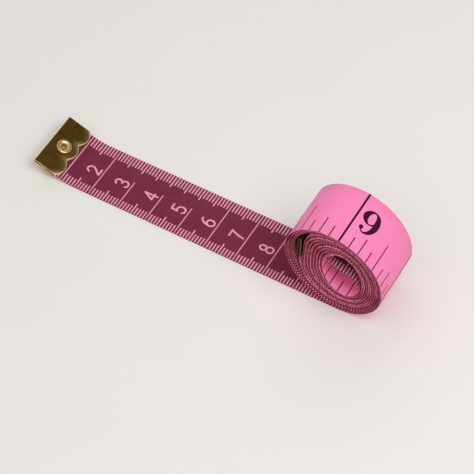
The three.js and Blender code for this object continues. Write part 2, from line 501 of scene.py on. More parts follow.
@dataclass(frozen=True)
class RollShape:
    """The ovals of the roll, seen along +Y, from the outermost layer in to the hole."""

    rest: float
    width: float = 32.6
    height: float = 32.7
    lean: float = 0.11
    hole_width: float = 11.6
    hole_height: float = 16.2
    hole_across: float = 3.2
    hole_above: float = -0.4
    solid_thickness: float = 0.42

    def hole_middle(self) -> np.ndarray:
        """The middle of the hole."""
        return self.points(np.array([0.25, 0.75]), np.array([1.0, 1.0])).mean(axis=0)

    def points(self, turn: np.ndarray, inward: np.ndarray) -> np.ndarray:
        """Points on the ovals.

        Args:
            turn: Directions in turns from the lowest point, towards +X first.
            inward: 0 on the outermost layer to 1 on the innermost.

        Returns:
            One point per row.
        """
        half = self.solid_thickness / 2
        across = self.width / 2 - half
        across = across + inward * (self.hole_width / 2 + half - across)
        upward = self.height / 2 - half
        upward = upward + inward * (self.hole_height / 2 + half - upward)
        angle = 2 * np.pi * turn
        side = across * np.sin(angle)
        rise = -upward * np.cos(angle)
        middle = self.rest - self.lean * (self.height / 2 - half) + self.hole_across * inward
        level = self.height / 2 + self.hole_above * inward
        return np.stack([middle + side - self.lean * rise, level + rise], axis=-1)

    def wall(self, turn: np.ndarray) -> np.ndarray:
        """The wall's thickness square to the layers, in each direction."""
        ones = np.ones_like(turn)
        depth = self.points(turn, ones) - self.points(turn, 0 * ones)
        along = self.points(turn + 1e-3, ones / 2) - self.points(turn - 1e-3, ones / 2)
        along /= np.linalg.norm(along, axis=-1, keepdims=True)
        return depth[..., 1] * along[..., 0] - depth[..., 0] * along[..., 1]


@dataclass(frozen=True)
class Winding:
    """How the folded tape is rolled up: single turns outside, doubled ones inside."""

    roll: RollShape
    thickness: float = 0.31
    single_turns: int = 3
    doubled_turns: int = 8
    far_end_direction: float = 235.0
    loop_start_direction: float = 190.0
    loop_end_direction: float = 68.0
    solid_layers: float = 7.725
    seam_fade: float = 80.0
    lead_in: float = 0.2
    cap_direction: float = 258.0
    cap_spread: float = 32.0
    cap_rooms: tuple = ((1.35, 0.3), (2.3, 0.3), (4.2, 1.6), (5.2, 1.1))
    room_ease: float = 0.35
    cap_mouth: float = 10.4
    end_inset: float = 0.4
    end_step: float = 0.5
    join_gap: int = 12
    join_steps: int = 24
    recess: float = 0.55
    ripple: float = 0.12
    fold_loop: tuple = (
        (-0.58, 0.87), (-0.78, 0.71), (-0.85, 0.53), (-0.74, 0.38), (-0.42, 0.28),
        (0.0, 0.2), (0.42, 0.14), (0.72, 0.03), (0.9, -0.1), (0.975, -0.25),
    )

    @property
    def far_end_turn(self) -> float:
        """The turn at which the far end lies."""
        return self.single_turns + self.far_end_direction / FULL_CIRCLE

    @property
    def loop_start_turn(self) -> float:
        """The turn at which the zero strand leaves for the fold."""
        return self.single_turns + self.doubled_turns + self.loop_start_direction / FULL_CIRCLE

    @property
    def loop_end_turn(self) -> float:
        """The turn at which the far strand comes back from the fold."""
        return self.single_turns + self.doubled_turns + self.loop_end_direction / FULL_CIRCLE

    @property
    def innermost(self) -> float:
        """The number of layers at the hole."""
        return float(self.layer(np.array([self.loop_end_turn]))[0]) + 1.0

    def layer(self, turn: np.ndarray) -> np.ndarray:
        """The zero strand's layer. The far strand lies one layer further in."""
        doubled = self.far_end_turn + 2 * (turn - self.far_end_turn)
        return np.where(turn < self.far_end_turn, turn, doubled)

    def room(self, around: np.ndarray, layer: np.ndarray) -> np.ndarray:
        """Room that the far end's stiff cap takes up outside a layer, in millimetres."""
        offset = (around % 1.0) * FULL_CIRCLE - self.cap_direction
        bump = np.exp(-(offset / self.cap_spread) ** 2)
        ease = self.room_ease
        taken = sum(size * smoothstep(layer, at - ease, at + ease) for at, size in self.cap_rooms)
        return bump * taken

    def stacked(self, around: np.ndarray, layer: np.ndarray) -> np.ndarray:
        """How far in a layer lies, with what room is left shared out evenly.

        Args:
            around: The direction, as a share of a turn.
            layer: The layer's number.

        Returns:
            0 on the outermost layer to 1 at the hole.
        """
        wall = self.roll.wall(around)
        outer = around / self.solid_layers
        under = layer - around
        below = self.innermost - around
        full = self.room(around, np.full_like(layer, self.innermost))
        spare = 1.0 - outer - (below * self.thickness + full) / wall
        taken = (under * self.thickness + self.room(around, layer)) / wall
        return outer + taken + spare * under / below

    def strand(self, turn: np.ndarray, deeper: float) -> np.ndarray:
        """Points of a strand.

        Args:
            turn: Turns from where the tape leaves the flat strip.
            deeper: 0 for the zero strand, 1 for the far strand.

        Returns:
            One point per row: seen along +Y, and then the shift across the tape.
        """
        around = turn % 1.0
        layer = self.layer(turn) + deeper
        seam = self.stacked(np.ones_like(around), layer) - self.stacked(0 * around, layer)
        fade = 1.0 - smoothstep(around * FULL_CIRCLE, 0.0, self.seam_fade)
        inward = self.stacked(around, layer) + seam * fade * np.clip(layer - around, 0.0, 1.0)
        depth = smoothstep(layer, 1.0, 4.0)
        wave = np.sin(2.1 * layer + 1.3) + 0.6 * np.sin(2 * np.pi * turn + 0.9 * layer)
        shift = depth * (self.recess + self.ripple * wave)
        return np.column_stack([self.roll.points(turn, inward), shift])

    def rolled(self, far: EndFrame, per_turn: int = 240) -> np.ndarray:
        """The tape's path from the flat strip to its far end.

        Args:
            far: The far end's place.
            per_turn: How many points one turn has.

        Returns:
            One point per row, as strand gives them.
        """
        inner = np.arange(0.0, self.loop_start_turn, 1 / per_turn)
        zero = self.strand(inner, 0.0)
        join = self.far_end_turn + self.lead_in
        outer = np.arange(self.loop_end_turn, join, -1 / per_turn)
        back = self.strand(outer, 1.0)
        half = np.array([self.roll.hole_width, self.roll.hole_height]) / 2
        fold = self.roll.hole_middle() + np.array(self.fold_loop) * half
        deep = np.full((len(fold), 1), zero[-1, 2])
        gap, steps = self.join_gap, self.join_steps
        guides = [zero[-gap::gap - 1], np.hstack([fold, deep]), back[:gap:gap - 1]]
        loop = through(np.vstack(guides), steps)
        straight = np.arange(self.cap_mouth, self.end_inset, -self.end_step)
        inside = far.at(np.append(straight, self.end_inset))
        end = np.column_stack([inside, np.full(len(inside), far.across)])
        lead = through(np.vstack([back[-gap - 1::gap], end[:2]]), steps)
        return np.vstack([zero[:-gap], loop[steps:-steps], back[gap:-gap - 1], lead[:-steps], end])


@dataclass(frozen=True)
class StripSizes:
    """Where the solids' stretches lie along the tape, and how high its middle lies."""

    tip: float = 13.0
    tail_link: float = 24.0
    tail_links: int = 2
    half_gap: float = 0.15
    free_length: float = 103.9
    level: float = 0.21

    @property
    def start(self) -> float:
        """Where the solid of the flat strip begins."""
        return self.tip + self.tail_links * self.tail_link + self.half_gap


@dataclass
class TapePath:
    """The middle of the tape from its zero end to its far end, at an even spacing."""

    zero: EndFrame
    far: EndFrame
    winding: Winding
    flat_end: float
    offset: float
    level: float
    step: float = 0.5
    fine: float = 0.25
    tip_straight: float = 10.0
    tip_step: float = 0.3
    bend_run: float = 3.0
    bend_steps: int = 25
    corner_ease: int = 3
    roll_margin: float = 20.0
    run: np.ndarray = field(init=False)
    middle: np.ndarray = field(init=False)
    left: np.ndarray = field(init=False)
    shift: np.ndarray = field(init=False)

    def __post_init__(self) -> None:
        """Lays the whole path and measures it from the zero end."""
        tip = self.zero.at(np.arange(self.winding.end_inset, self.tip_straight, self.tip_step))
        corner_at = (self.level - self.zero.fold[1]) / self.zero.into[1]
        corner = self.zero.at(np.array([corner_at]))[0]
        bend_end = corner + np.array([self.bend_run, 0.0])
        share = np.linspace(0.0, 1.0, self.bend_steps)[1:, None]
        bend = (1 - share) ** 2 * tip[-1] + 2 * share * (1 - share) * corner + share ** 2 * bend_end
        flat_x = np.arange(bend_end[0] + self.step, self.flat_end + self.offset, self.step)
        flat = np.column_stack([flat_x, np.full_like(flat_x, self.level)])
        free = np.vstack([tip, bend, flat])
        free = np.column_stack([free, np.zeros(len(free))])
        roll = self.winding.rolled(self.far)
        dense = softened(spaced(np.vstack([free, roll]), self.fine), self.corner_ease)
        even = spaced(dense, self.step)
        gaps = np.linalg.norm(np.diff(even[:, :2], axis=0), axis=1)
        run = np.concatenate([[0.0], np.cumsum(gaps)])
        first_turn = run < self.flat_end + self.roll_margin
        at_rest = np.interp(self.flat_end + self.offset, even[first_turn, 0], run[first_turn])
        self.run = run - at_rest + self.flat_end
        self.middle = even[:, :2]
        self.shift = even[:, 2]
        along = np.gradient(self.middle, axis=0)
        along /= np.linalg.norm(along, axis=1, keepdims=True)
        self.left = np.column_stack([-along[:, 1], along[:, 0]])

    @property
    def start(self) -> float:
        """Where the ribbon begins."""
        return float(self.run[0])

    @property
    def end(self) -> float:
        """Where the ribbon ends."""
        return float(self.run[-1])

    def on(self, s: Any, v: Any, height: Any) -> np.ndarray:
        """Points on or near the tape, in metres.

        Args:
            s: Distances along the tape.
            v: Distances from its near edge.
            height: Distances to the left of its middle, which is the centimetre face.

        Returns:
            One point per row, in the frame's axes.
        """
        s, v, height = np.broadcast_arrays(np.asarray(s, float), v, height)
        columns = (*self.middle.T, *self.left.T, self.shift)
        x, z, left_x, left_z, shift = (np.interp(s, self.run, column) for column in columns)
        x = x + height * left_x
        z = z + height * left_z
        y = v - Ribbon.width / 2 + shift
        return np.stack([x, y, z], axis=-1) * MM

    def nearest(self, point: Sequence[float], below: float) -> float:
        """Where the path passes nearest to a point of the frame, before a given place."""
        near = self.run < below
        away = np.linalg.norm(self.middle[near] - np.array([point[0], point[2]]) / MM, axis=1)
        return float(self.run[near][np.argmin(away)])


# Printed marks

class Numerals(Enum):
    """The two kinds of printed figures."""

    ROUNDED = "rounded"
    BOLD = "bold"


def arc(middle: Sequence[float], radii: Sequence[float], start: float, end: float) -> list:
    """Points on an oval arc, between two angles in degrees."""
    count = max(3, round(abs(end - start) / 30) + 1)
    angles = np.radians(np.linspace(start, end, count))
    return [(middle[0] + radii[0] * math.cos(a), middle[1] + radii[1] * math.sin(a)) for a in angles]


def monoline(*strokes: Sequence, width: float = 0.1) -> list:
    """Strokes of one width."""
    return [[(x, y, width) for x, y in stroke] for stroke in strokes]


def half_turned(strokes: Sequence, width: float) -> list:
    """Strokes turned half round in a cell of a given width."""
    return [[(width - x, 1.0 - y, w) for x, y, w in stroke] for stroke in strokes]


ROUNDED_SIX = monoline(
    arc((0.31, 0.31), (0.26, 0.26), 0, 360),
    [(0.5, 0.95), (0.33, 0.9), (0.14, 0.68), (0.05, 0.36)],
)
ROUNDED = {
    "0": monoline(arc((0.31, 0.5), (0.26, 0.45), 0, 360)),
    "1": monoline([(0.16, 0.8), (0.36, 0.95)], [(0.36, 0.95), (0.36, 0.05)]),
    "2": monoline(
        [*arc((0.31, 0.69), (0.25, 0.26), 165, -30), (0.3, 0.3), (0.06, 0.05)],
        [(0.06, 0.05), (0.57, 0.05)],
    ),
    "3": monoline(arc((0.29, 0.73), (0.22, 0.22), 155, -90), arc((0.29, 0.28), (0.26, 0.23), 90, -155)),
    "4": monoline([(0.44, 0.05), (0.44, 0.95)], [(0.44, 0.95), (0.05, 0.3)], [(0.05, 0.3), (0.58, 0.3)]),
    "5": monoline(
        [(0.52, 0.95), (0.13, 0.95)],
        [(0.13, 0.95), (0.09, 0.54)],
        [(0.09, 0.54), *arc((0.29, 0.33), (0.27, 0.28), 110, -150)],
    ),
    "6": ROUNDED_SIX,
    "7": monoline([(0.05, 0.95), (0.57, 0.95)], [(0.57, 0.95), (0.38, 0.55), (0.26, 0.05)]),
    "8": monoline(arc((0.31, 0.74), (0.21, 0.21), 0, 360), arc((0.31, 0.28), (0.26, 0.23), 0, 360)),
    "9": half_turned(ROUNDED_SIX, 0.62),
}

BOLD_SIX = [
    [(0.47, 0.8, 0.15), (0.471, 0.8, 0.15)],
    [
        (0.49, 0.86, 0.05), (0.36, 0.965, 0.05), (0.2, 0.85, 0.12), (0.105, 0.6, 0.19), (0.1, 0.34, 0.2),
        (0.16, 0.13, 0.14), (0.3, 0.03, 0.05), (0.45, 0.12, 0.13), (0.52, 0.3, 0.19), (0.46, 0.49, 0.13),
        (0.33, 0.57, 0.05), (0.2, 0.5, 0.06), (0.13, 0.4, 0.04),
    ],
]
BOLD = {
    "0": [[
        (0.3, 0.97, 0.05), (0.15, 0.85, 0.14), (0.1, 0.5, 0.2), (0.15, 0.15, 0.14), (0.3, 0.03, 0.05),
        (0.45, 0.15, 0.14), (0.5, 0.5, 0.2), (0.45, 0.85, 0.14), (0.3, 0.97, 0.05),
    ]],
    "1": [
        [(0.32, 0.97, 0.19), (0.32, 0.03, 0.19)],
        [(0.12, 0.8, 0.05), (0.28, 0.94, 0.09)],
        [(0.12, 0.02, 0.05), (0.52, 0.02, 0.05)],
    ],
    "2": [
        [(0.14, 0.74, 0.15), (0.141, 0.74, 0.15)],
        [
            (0.1, 0.8, 0.05), (0.26, 0.965, 0.06), (0.43, 0.9, 0.13), (0.49, 0.72, 0.19), (0.4, 0.5, 0.14),
            (0.2, 0.28, 0.06), (0.08, 0.08, 0.05),
        ],
        [(0.06, 0.09, 0.1), (0.3, 0.08, 0.17), (0.5, 0.09, 0.15), (0.55, 0.26, 0.05)],
    ],
    "3": [
        [(0.14, 0.79, 0.14), (0.141, 0.79, 0.14)],
        [
            (0.1, 0.85, 0.05), (0.27, 0.97, 0.06), (0.42, 0.88, 0.14), (0.45, 0.74, 0.17),
            (0.38, 0.58, 0.09), (0.22, 0.53, 0.05),
        ],
        [
            (0.22, 0.53, 0.05), (0.41, 0.48, 0.11), (0.5, 0.28, 0.2), (0.42, 0.1, 0.13),
            (0.26, 0.03, 0.06), (0.08, 0.16, 0.05),
        ],
        [(0.13, 0.21, 0.15), (0.131, 0.21, 0.15)],
    ],
    "4": [
        [(0.41, 0.97, 0.18), (0.41, 0.03, 0.18)],
        [(0.38, 0.96, 0.05), (0.05, 0.3, 0.05)],
        [(0.03, 0.28, 0.06), (0.58, 0.28, 0.06)],
        [(0.24, 0.02, 0.05), (0.57, 0.02, 0.05)],
    ],
    "5": [
        [(0.13, 0.95, 0.05), (0.3, 0.89, 0.15), (0.5, 0.93, 0.1)],
        [(0.12, 0.97, 0.05), (0.1, 0.5, 0.05)],
        [
            (0.1, 0.5, 0.05), (0.26, 0.6, 0.06), (0.44, 0.52, 0.15), (0.5, 0.3, 0.2), (0.42, 0.11, 0.14),
            (0.26, 0.03, 0.06), (0.08, 0.15, 0.05),
        ],
        [(0.13, 0.2, 0.15), (0.131, 0.2, 0.15)],
    ],
    "6": BOLD_SIX,
    "7": [
        [(0.07, 0.74, 0.05), (0.1, 0.9, 0.12), (0.3, 0.9, 0.16), (0.54, 0.93, 0.08)],
        [(0.54, 0.94, 0.05), (0.4, 0.62, 0.08), (0.28, 0.32, 0.17), (0.26, 0.06, 0.2)],
    ],
    "8": [
        [
            (0.3, 0.97, 0.05), (0.15, 0.87, 0.12), (0.14, 0.72, 0.16), (0.3, 0.56, 0.14),
            (0.48, 0.38, 0.17), (0.49, 0.16, 0.16), (0.3, 0.03, 0.05), (0.12, 0.14, 0.14),
            (0.1, 0.32, 0.16), (0.26, 0.5, 0.05), (0.43, 0.66, 0.06), (0.45, 0.86, 0.11), (0.3, 0.97, 0.05),
        ],
    ],
    "9": half_turned(BOLD_SIX, 0.6),
}


class MarkSheet:
    """Flat printed shapes on one face of the tape: quads in s and v, each with a coat of ink.

    Where two quads overlap, the one of the higher coat lies on top.
    """

    def __init__(self) -> None:
        """Starts an empty sheet."""
        self.quads: list[tuple[np.ndarray, float]] = []

    def add(self, corners: Sequence, coat: float, strip: float = 0.5) -> None:
        """Adds a quad, cut into strips that are short enough to follow the roll.

        Args:
            corners: Its corners as s and v.
            coat: Its coat.
            strip: The most that a strip runs along the tape.
        """
        outline = np.array(corners)
        low, high = outline[:, 0].min(), outline[:, 0].max()
        count = max(1, math.ceil((high - low) / strip))
        for cut in np.linspace(low, high, count + 1)[1:-1]:
            self.quads.append((trimmed(outline, cut, -1.0), coat))
            outline = trimmed(outline, cut, 1.0)
        self.quads.append((outline, coat))

    def bar(self, s: float, width: float, v_low: float, v_high: float) -> None:
        """A bar across the tape.

        Args:
            s: Its middle along the tape.
            width: Its width along the tape.
            v_low: Its end nearer to the near edge.
            v_high: Its other end.
        """
        low, high = s - width / 2, s + width / 2
        self.add([(low, v_low), (high, v_low), (high, v_high), (low, v_high)], 0.0)

    def stroke(self, points: np.ndarray, coat: float) -> None:
        """A pen stroke with round ends.

        Args:
            points: Rows of s, v and the pen's width.
            coat: The coat that it starts at. It takes three.
        """
        line = through(points, 5) if len(points) > 2 else points
        along = np.gradient(line[:, :2], axis=0)
        along /= np.linalg.norm(along, axis=1, keepdims=True) + 1e-9
        side = np.column_stack([-along[:, 1], along[:, 0]]) * line[:, 2:] / 2
        left, right = line[:, :2] + side, line[:, :2] - side
        for index, corners in enumerate(zip(right, right[1:], left[1:], left)):
            self.add(corners, coat + 0.2 * (index % 5))
        self.dot(line[0, :2], line[0, 2] / 2, coat + 1)
        self.dot(line[-1, :2], line[-1, 2] / 2, coat + 2)

    def dot(self, middle: np.ndarray, radius: float, coat: float) -> None:
        """A round dot of four quads."""
        angles = np.linspace(0.0, 2 * np.pi, 9)
        rim = middle + radius * np.column_stack([np.cos(angles), np.sin(angles)])
        for first in range(0, 8, 2):
            self.add([middle, rim[first], rim[first + 1], rim[first + 2]], coat)

    def between(self, low: float, high: float) -> list[tuple[np.ndarray, float]]:
        """The marks between two places along the tape, cut off at both.

        Args:
            low: The lower place.
            high: The higher place.

        Returns:
            Outlines of three to six corners, each with its coat.
        """
        found = []
        for quad, coat in self.quads:
            outline = trimmed(trimmed(quad, low, 1.0), high, -1.0)
            if len(outline) > 2:
                found.append((outline, coat))
        return found


def trimmed(outline: np.ndarray, limit: float, side: float) -> np.ndarray:
    """What is left of a convex outline on one side of a place along the tape.

    Args:
        outline: Its corners as s and v.
        limit: The place.
        side: 1 to keep what lies above it, -1 to keep what lies below.

    Returns:
        The corners that are left.
    """
    inside = (outline[:, 0] - limit) * side > 0
    if not len(outline) or inside.all() or not inside.any():
        return outline[inside]
    kept = []
    for first, second, here, there in zip(outline, np.roll(outline, -1, 0), inside, np.roll(inside, -1)):
        if here:
            kept.append(first)
        if here != there:
            share = (limit - first[0]) / (second[0] - first[0])
            kept.append(first + share * (second - first))
    return np.array(kept)


@dataclass
class Scale:
    """One face's printed scale."""

    face: Face
    numerals: Numerals
    unit: float
    parts: int
    last: int
    near_ticks: dict
    far_ticks: dict
    tick_width: float
    line_width: float
    figure_height: float
    figure_gap: float
    figure_across: float
    figure_space: float
    pen: float = 1.0
    wide: float = 1.0
    origin: float = 0.0
    short_lines: tuple = ()
    short_reach: float = 10.6
    inset: float = 0.02
    lift: float = 0.012
    coat: float = 0.002

    def marks(self, width: float, begin: float, end: float) -> MarkSheet:
        """Draws the whole scale.

        Args:
            width: The tape's width.
            begin: Where the bare tape starts.
            end: Where it stops.

        Returns:
            Its marks.
        """
        sheet = MarkSheet()
        for tick in range(1, self.last * self.parts + 1):
            s = self.origin + tick * self.unit / self.parts
            if not begin < s < end:
                continue
            share = max(d for d in self.near_ticks if tick % d == 0)
            if tick % self.parts == 0:
                number = tick // self.parts
                short = number in self.short_lines
                reach = self.short_reach if short else width - self.inset
                sheet.bar(s, self.line_width, self.inset, reach)
                if s - self.figure_gap - self.figure_height > begin:
                    self.figure(sheet, number, s)
                if not short:
                    continue
            else:
                sheet.bar(s, self.tick_width, self.inset, self.near_ticks[share])
            if share in self.far_ticks:
                sheet.bar(s, self.tick_width, width - self.far_ticks[share], width - self.inset)
        return sheet

    def figure(self, sheet: MarkSheet, number: int, s: float) -> None:
        """Writes a number just before its line.

        Args:
            sheet: Where it is drawn.
            number: What is written.
            s: Where its line is.
        """
        glyphs = {Numerals.ROUNDED: ROUNDED, Numerals.BOLD: BOLD}[self.numerals]
        size = self.figure_height
        text = str(number)
        whole = len(text) * self.figure_space
        for place, digit in enumerate(text):
            for index, stroke in enumerate(glyphs[digit]):
                x, y, pen = np.array(stroke).T
                x = x + place * self.figure_space
                if self.numerals is Numerals.ROUNDED:
                    along = s - self.figure_gap - y * size
                    across = self.figure_across + (x - whole / 2) * size * self.wide
                else:
                    along = s - self.figure_gap + (x - whole) * size * self.wide
                    across = self.figure_across + (0.5 - y) * size
                sheet.stroke(np.column_stack([along, across, pen * size * self.pen]), 3.0 * index)


# The ribbon

@dataclass
class Ribbon:
    """The tape, in stretches, one for each of the frame's bodies."""

    path: TapePath
    scales: Sequence[Scale]
    finishes: dict
    joints: Sequence[dict]
    ends: dict
    width: float = 19.0
    chamfer: float = 0.07
    cap_reach: float = 9.6
    hidden: float = 7.6
    hole: float = 1.65
    bend_reach: float = 7.0
    lift_reach: float = 4.5
    lift_root: float = 1.8
    tail_hinges: int = 3
    first_turn_end: float = 215.0

    BODIES = ("tip", "tail_outer", "tail_inner", "strip", *(f"turn_{n}" for n in range(2, 9)), "winding")
    NODES = {
        "tip": ["tape_tip"],
        "tail_outer": ["tape_tail_outer"],
        "tail_inner": ["tape_tail_inner"],
        "strip": ["tape_strip", "tape_turn_1"],
        "winding": ["tape_winding"],
    }

    def hinge_places(self) -> list[float]:
        """Where each hinge lies along the tape, from the zero end."""
        pairs = {frozenset((j["parent"], j["child"])): j["pos_m"] for j in self.joints}
        places = []
        for first, second in zip(self.BODIES, self.BODIES[1:]):
            hinge = pairs[frozenset((first, second))]
            places.append(self.path.nearest(hinge, self.first_turn_end))
        return places

    def build(self) -> None:
        """Makes every stretch with its print."""
        path = self.path
        shown_from, shown_to = path.start + self.hidden, path.end - self.hidden
        sheets = [s.marks(self.width, shown_from, shown_to) for s in self.scales]
        hinges = self.hinge_places()
        middles = [(a + b) / 2 for a, b in zip(hinges, hinges[1:])]
        middles.append(hinges[-1] + (hinges[-1] - middles[-1]))
        cuts = [path.start, *middles, path.end]
        for index, (low, high) in enumerate(zip(cuts, cuts[1:])):
            body = self.BODIES[index]
            piece = self.stretch(f"ribbon_{body}", low, high)
            for end in self.ends.get(body, ()):
                drill(piece, end.matrix(), self.hole)
            print_pieces = [
                self.printed(f"ribbon_{body}_{scale.face.name.lower()}_print", scale, sheet, low, high)
                for scale, sheet in zip(self.scales, sheets)
            ]
            shown = [p for p in print_pieces if p is not None]
            if index < len(hinges):
                self.bend(index, hinges[index], low, high, [piece, *shown])
            else:
                for each in [piece, *shown]:
                    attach(each, body)
            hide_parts(*self.NODES.get(body, [f"tape_{body}"]))
            held = "laid" if index < len(hinges) else "folded"
            self.width * MM
            (high - low) * MM
            LOG.info("%s from %.1f to %.1f mm", piece.name, low, high)

    def bend(self, index: int, hinge: float, low: float, high: float, pieces: Sequence) -> None:
        """Sets how far a bend would reach on each side of one hinge, and bakes the stretch and its print
        where they lie.

        Args:
            index: The number of the body before the hinge.
            hinge: Where the hinge is.
            low: Where the stretch starts.
            high: Where it ends.
            pieces: The stretch and its print.
        """
        before = after = min(hinge - low, high - hinge, self.bend_reach)
        if index < self.tail_hinges:
            # The tail lifts off a table, so its reach is set on its own side of the hinge and not below the
            # strip
            before = min(hinge - self.cap_reach, self.lift_reach)
            after = self.lift_root
        start = self.path.on(hinge - before, self.width / 2, 0.0)
        end = self.path.on(hinge + after, self.width / 2, 0.0)
        for piece in pieces:
            self.BODIES[index + 1]
            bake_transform(piece)

    def section(self) -> list[tuple[float, float]]:
        """The tape's cut section as v and height, anticlockwise from the near edge's lower corner."""
        half = self.path.winding.thickness / 2
        c, w = self.chamfer, self.width
        lower = [(c, -half), (w / 3, -half), (2 * w / 3, -half), (w - c, -half)]
        upper = [(v, -h) for v, h in reversed(lower)]
        return [*lower, (w, c - half), (w, half - c), *upper, (0.0, half - c), (0.0, c - half)]

    def stretch(self, name: str, low: float, high: float) -> bpy.types.Object:
        """Makes one closed stretch of the ribbon.

        Args:
            name: The piece's name.
            low: Where it starts.
            high: Where it ends.

        Returns:
            The piece, with a UV map in millimetres.
        """
        section = np.array(self.section())
        inside = self.path.run[(self.path.run > low + 0.1) & (self.path.run < high - 0.1)]
        rows = np.concatenate([[low], inside, [high]])
        count = len(section)
        points = self.path.on(rows[:, None], section[None, :, 0], section[None, :, 1]).reshape(-1, 3)
        faces, kinds, flat = [], [], []
        half = self.path.winding.thickness / 2
        for row in range(len(rows) - 1):
            for side in range(count):
                after = (side + 1) % count
                corners = [(row, side), (row, after), (row + 1, after), (row + 1, side)]
                heights = section[[side, after], 1]
                edge = abs(heights).min() < half - 1e-6 or abs(heights[0] - heights[1]) > 1e-6
                kind = 2 if edge else (0 if heights[0] > 0 else 1)
                faces.append([r * count + k for r, k in corners])
                kinds.append(kind)
                column = 1 if edge else 0
                scale = half if edge else 1.0
                flat.extend((rows[r], section[k, column] / scale) for r, k in corners)
        for row, order in ((0, range(count - 1, -1, -1)), (len(rows) - 1, range(count))):
            faces.append([row * count + k for k in order])
            kinds.append(2)
            flat.extend((rows[row], section[k, 1] / half) for k in order)
        piece = mesh_object(name, points, faces)
        for finish in ("plum_cloth", "pink_cloth", "tape_edge"):
            piece.data.materials.append(self.finishes[finish])
        piece.data.polygons.foreach_set("material_index", kinds)
        layer = piece.data.uv_layers.new(name="tape")
        layer.uv.foreach_set("vector", np.array(flat, np.float32).ravel())
        smooth_by_angle(piece, 50.0)
        return piece

    def printed(self, name: str, scale: Scale, sheet: MarkSheet, low: float, high: float) -> Any:
        """Makes the print on one face of a stretch.

        Args:
            name: The piece's name.
            scale: The face's scale.
            sheet: All of its marks.
            low: Where the stretch starts.
            high: Where it ends.

        Returns:
            The piece, or nothing where the stretch has no marks.
        """
        outlines = sheet.between(low, high)
        if not outlines:
            return None
        side = scale.face.value
        faces, coats = [], []
        for outline, coat in outlines:
            order = list(range(len(coats), len(coats) + len(outline)))
            faces.append(order if side * signed_area(outline) > 0 else order[::-1])
            coats.extend([coat] * len(outline))
        flat = np.vstack([outline for outline, _ in outlines])
        height = self.path.winding.thickness / 2 + scale.lift + scale.coat * np.array(coats)
        piece = mesh_object(name, self.path.on(flat[:, 0], flat[:, 1], side * height), faces)
        ink = "pink_ink" if scale.face is Face.CENTIMETRE else "dark_ink"
        piece.data.materials.append(self.finishes[ink])
        return piece


def signed_area(outline: np.ndarray) -> float:
    """An outline's area, below zero where its corners run clockwise."""
    after = np.roll(outline, -1, axis=0)
    return float((outline[:, 0] * after[:, 1] - outline[:, 1] * after[:, 0]).sum()) / 2


def mesh_object(name: str, points: np.ndarray, faces: Sequence) -> bpy.types.Object:
    """A new mesh object at the origin."""
    mesh = bpy.data.meshes.new(name)
    mesh.from_pydata(points.tolist(), [], faces)
    mesh.validate()
    made = bpy.data.objects.new(name, mesh)
    bpy.context.scene.collection.objects.link(made)
    return made


def only(piece: bpy.types.Object) -> None:
    """Selects one object alone and makes it the active one."""
    bpy.ops.object.select_all(action="DESELECT")
    piece.select_set(True)
    bpy.context.view_layer.objects.active = piece


def smooth_by_angle(piece: bpy.types.Object, degrees: float) -> None:
    """Shades a piece smooth, but for its sharper edges."""
    only(piece)
    bpy.ops.object.shade_smooth_by_angle(angle=math.radians(degrees))


# Brass ends

def drill(piece: bpy.types.Object, place: Matrix, radius: float, depth: float = 2.2) -> None:
    """Cuts an eyelet's hole through a piece.

    Args:
        piece: What is cut.
        place: Where the end of the tape lies.
        radius: The hole's radius.
        depth: How long the cutter is.
    """
    middle = (EYELET_FROM_FOLD, 0.0, 0.0)
    bpy.ops.object.select_all(action="DESELECT")
    bpy.ops.mesh.primitive_cylinder_add(vertices=40, radius=radius, depth=depth, location=middle)
    cutter = bpy.context.object
    cutter.data.transform(place @ cutter.matrix_world)
    cutter.matrix_world = Matrix.Identity(4)
    Modeller.apply(piece, "BOOLEAN", object=cutter, operation="DIFFERENCE", solver="EXACT")
    bpy.data.objects.remove(cutter)


def rubbed(piece: bpy.types.Object, wear: Callable[[Vector], float]) -> None:
    """Writes how bright each corner of a piece is, as wear with a painted highlight on it, for its finish
    to read.
    """
    layer = piece.data.attributes.new("rub", "FLOAT", "POINT")
    layer.data.foreach_set("value", [wear(corner.co) for corner in piece.data.vertices])


def fit_brass(piece: bpy.types.Object, finish: bpy.types.Material, body: str, node: str) -> None:
    """Gives a finished brass piece its finish and its body, and hides the node that it stands for.

    Args:
        piece: The cap or the eyelet.
        finish: Its brass.
        body: What it moves with.
        node: The node that it replaces.
    """
    piece.data.materials.clear()
    piece.data.materials.append(finish)
    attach(piece, body)
    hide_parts(node)
    LOG.info("%s on %s", piece.name, body)


class Modeller:
    """Edit-mode steps on the active mesh."""

    @staticmethod
    def begin(piece: bpy.types.Object) -> None:
        """Opens a piece for editing, with nothing selected."""
        only(piece)
        bpy.ops.object.mode_set(mode="EDIT")
        bpy.ops.mesh.select_mode(type="VERT")
        bpy.ops.mesh.select_all(action="DESELECT")

    @staticmethod
    def choose(piece: bpy.types.Object, wanted: Callable[[Vector], bool]) -> None:
        """Selects the corners that pass a test.

        Args:
            piece: The piece that is open.
            wanted: A test of a corner's place.
        """
        bpy.ops.mesh.select_all(action="DESELECT")
        bpy.ops.object.mode_set(mode="OBJECT")
        for corner in piece.data.vertices:
            corner.select = bool(wanted(corner.co))
        bpy.ops.object.mode_set(mode="EDIT")

    @staticmethod
    def finish(piece: bpy.types.Object) -> None:
        """Merges doubles, turns the faces outwards and leaves edit mode."""
        bpy.ops.mesh.select_all(action="SELECT")
        bpy.ops.mesh.remove_doubles(threshold=WELD)
        bpy.ops.mesh.normals_make_consistent(inside=False)
        bpy.ops.object.mode_set(mode="OBJECT")

    @staticmethod
    def apply(piece: bpy.types.Object, kind: str, **settings: Any) -> None:
        """Adds a modifier with settings and applies it."""
        only(piece)
        added = piece.modifiers.new(kind.lower(), kind)
        for name, value in settings.items():
            setattr(added, name, value)
        bpy.ops.object.modifier_apply(modifier=added.name)


